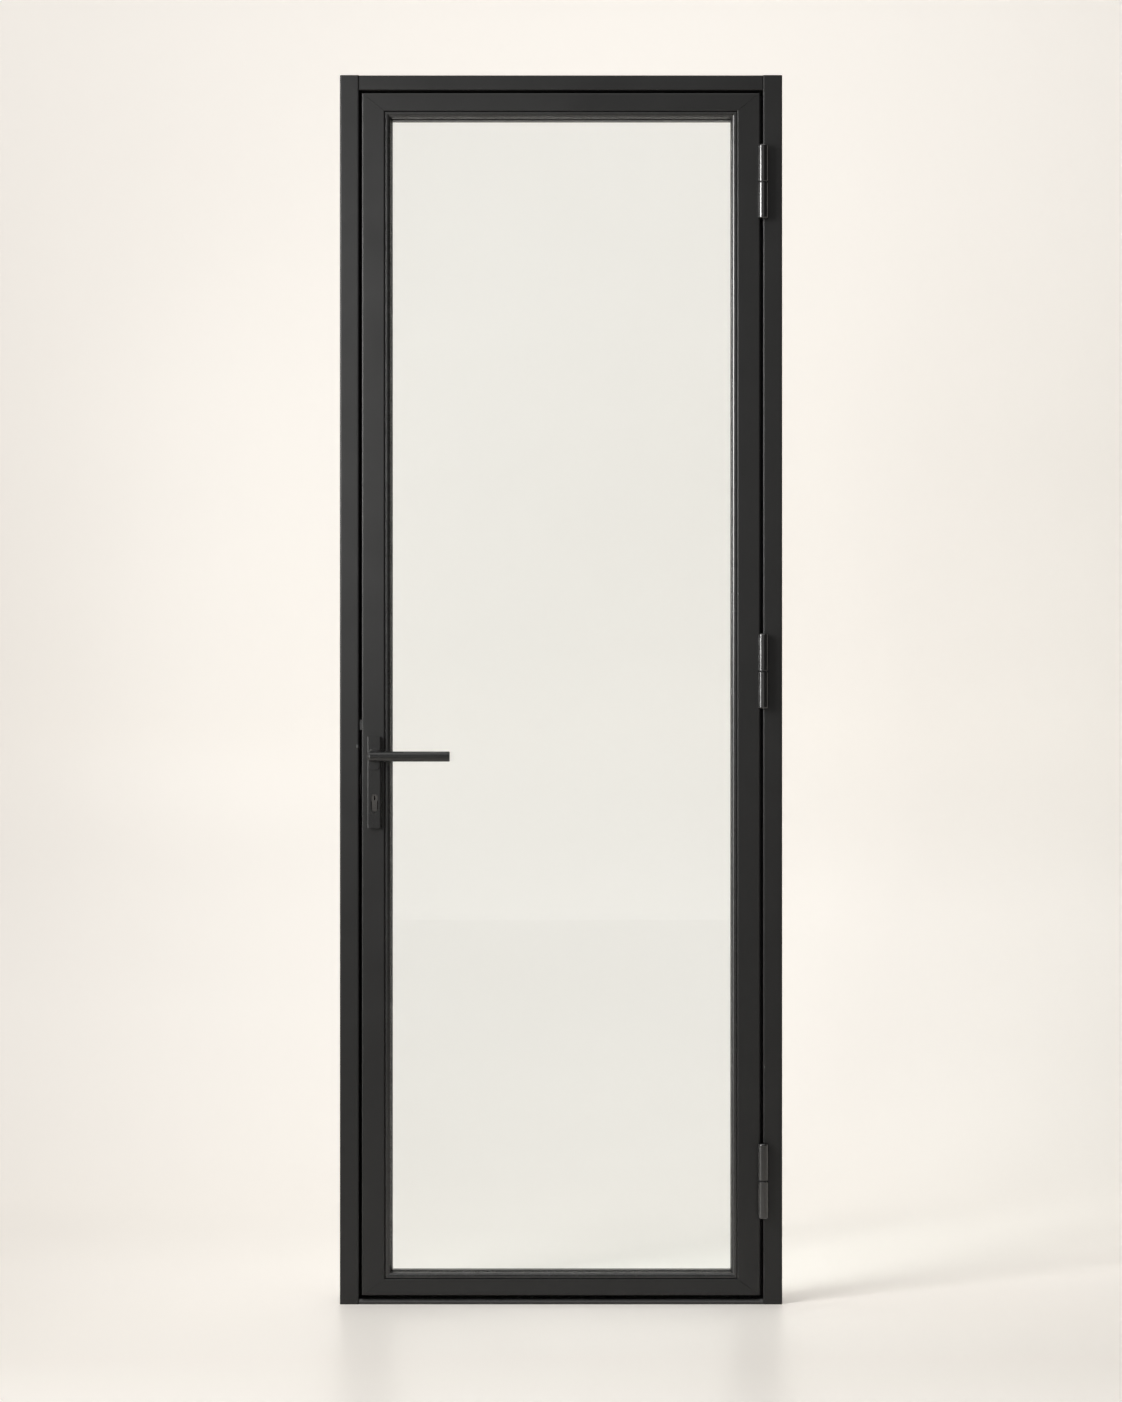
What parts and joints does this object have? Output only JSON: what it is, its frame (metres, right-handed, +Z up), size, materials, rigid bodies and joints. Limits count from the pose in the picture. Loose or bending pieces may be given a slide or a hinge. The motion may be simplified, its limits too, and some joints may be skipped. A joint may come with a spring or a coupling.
{
  "type": "hinged door",
  "caption": "Tall narrow glazed door leaf of dark coated metal sections, hinged in its own frame with a low threshold, lever handles on long plates and a cylinder lock.",
  "frame": {"origin": "middle of the frame's foot on the floor, in the middle of the frame's depth with handles counted", "axes": "+Z up along the height, X across the door with the hinges at +X, the leaf opens towards -Y"},
  "size_m": [0.828, 0.169, 2.3],
  "materials": {
    "frame_coat": "matte powder coat",
    "leaf_coat": "matte powder coat",
    "bead_coat": "matte powder coat",
    "hinge_coat": "satin powder coat",
    "handle_coat": "matte powder coat",
    "glass": "clear",
    "seal_rubber": "matte",
    "steel": "satin",
    "zinc_steel": "zinc plated",
    "cylinder_metal": "black nickel",
    "dark_steel": "black zinc plated",
    "cleat_metal": "as extruded",
    "black_plastic": "matte"
  },
  "bodies": {
    "frame": {"jamb_left": "frame_coat", "jamb_right": "frame_coat", "head": "frame_coat", "threshold": "frame_coat", "weather_seal": "seal_rubber", "head_cleats": "cleat_metal", "frame_corner_screws": "zinc_steel", "fixing_hole_caps": "black_plastic", "strike_plate": "dark_steel", "strike_backing_plate": "zinc_steel", "strike_screws": "steel", "hinge_frame_half_top": "hinge_coat", "hinge_frame_half_middle": "hinge_coat", "hinge_frame_half_bottom": "hinge_coat", "hinge_pins": "steel", "hinge_washers": "black_plastic", "hinge_frame_screws": "steel", "hinge_frame_backing_plates": "zinc_steel"},
    "leaf": {"stile_lock": "leaf_coat", "stile_hinge": "leaf_coat", "rail_top": "leaf_coat", "rail_bottom": "leaf_coat", "corner_cleats": "cleat_metal", "bead_left": "bead_coat", "bead_right": "bead_coat", "bead_top": "bead_coat", "bead_bottom": "bead_coat", "glass_pane": "glass", "glazing_gasket_front": "seal_rubber", "glazing_gasket_rear": "seal_rubber", "setting_blocks": "black_plastic", "hinge_leaf_half_top": "hinge_coat", "hinge_leaf_half_middle": "hinge_coat", "hinge_leaf_half_bottom": "hinge_coat", "hinge_leaf_screws": "steel", "hinge_leaf_backing_plates": "zinc_steel", "lock_case": "zinc_steel", "lock_faceplate": "steel", "faceplate_screws": "steel", "lock_fixing_clips": "zinc_steel", "cylinder_body": "cylinder_metal", "cylinder_fixing_screw": "steel", "handle_plate_front": "handle_coat", "handle_plate_rear": "handle_coat", "plate_bolts": "handle_coat", "neck_bushes": "black_plastic", "latch_spring": "steel"},
    "lever": {"lever_front": "handle_coat", "lever_rear": "handle_coat", "spindle": "zinc_steel", "lock_follower": "zinc_steel", "lever_grub_screws": "steel"},
    "latch": {"latch_bolt": "dark_steel"},
    "deadbolt": {"deadbolt": "dark_steel"},
    "cylinder_plug": {"cylinder_plug_front": "cylinder_metal", "cylinder_plug_rear": "cylinder_metal", "lock_cam": "cylinder_metal"}
  },
  "joints": [
    {"name": "leaf_swing", "type": "hinge", "parent": "frame", "child": "leaf", "pos_m": [0.3775, -0.0355, 1.15], "axis": [0, 0, 1], "range_deg": [0, 170]},
    {"name": "lever_turn", "type": "hinge", "parent": "leaf", "child": "lever", "pos_m": [-0.3485, 0, 1.025], "axis": [0, 1, 0], "range_deg": [0, 40], "stiffness_Nm_per_rad": 1.2, "springref_deg": -20.05},
    {"name": "latch_slide", "type": "slide", "parent": "leaf", "child": "latch", "axis": [1, 0, 0], "range_m": [0, 0.0101], "deforming": ["latch_spring"]},
    {"name": "key_turn", "type": "hinge", "parent": "leaf", "child": "cylinder_plug", "pos_m": [-0.3485, 0, 0.948], "axis": [0, 1, 0], "range_deg": [0, 360]},
    {"name": "deadbolt_slide", "type": "slide", "parent": "leaf", "child": "deadbolt", "axis": [-1, 0, 0], "range_m": [0, 0.014]}
  ],
  "couplings": [
    {"joint": "latch_slide", "follows": "lever_turn", "m_per_rad": 0.014324},
    {"joint": "key_turn", "follows": "deadbolt_slide", "rad_per_m": 448.79}
  ]
}
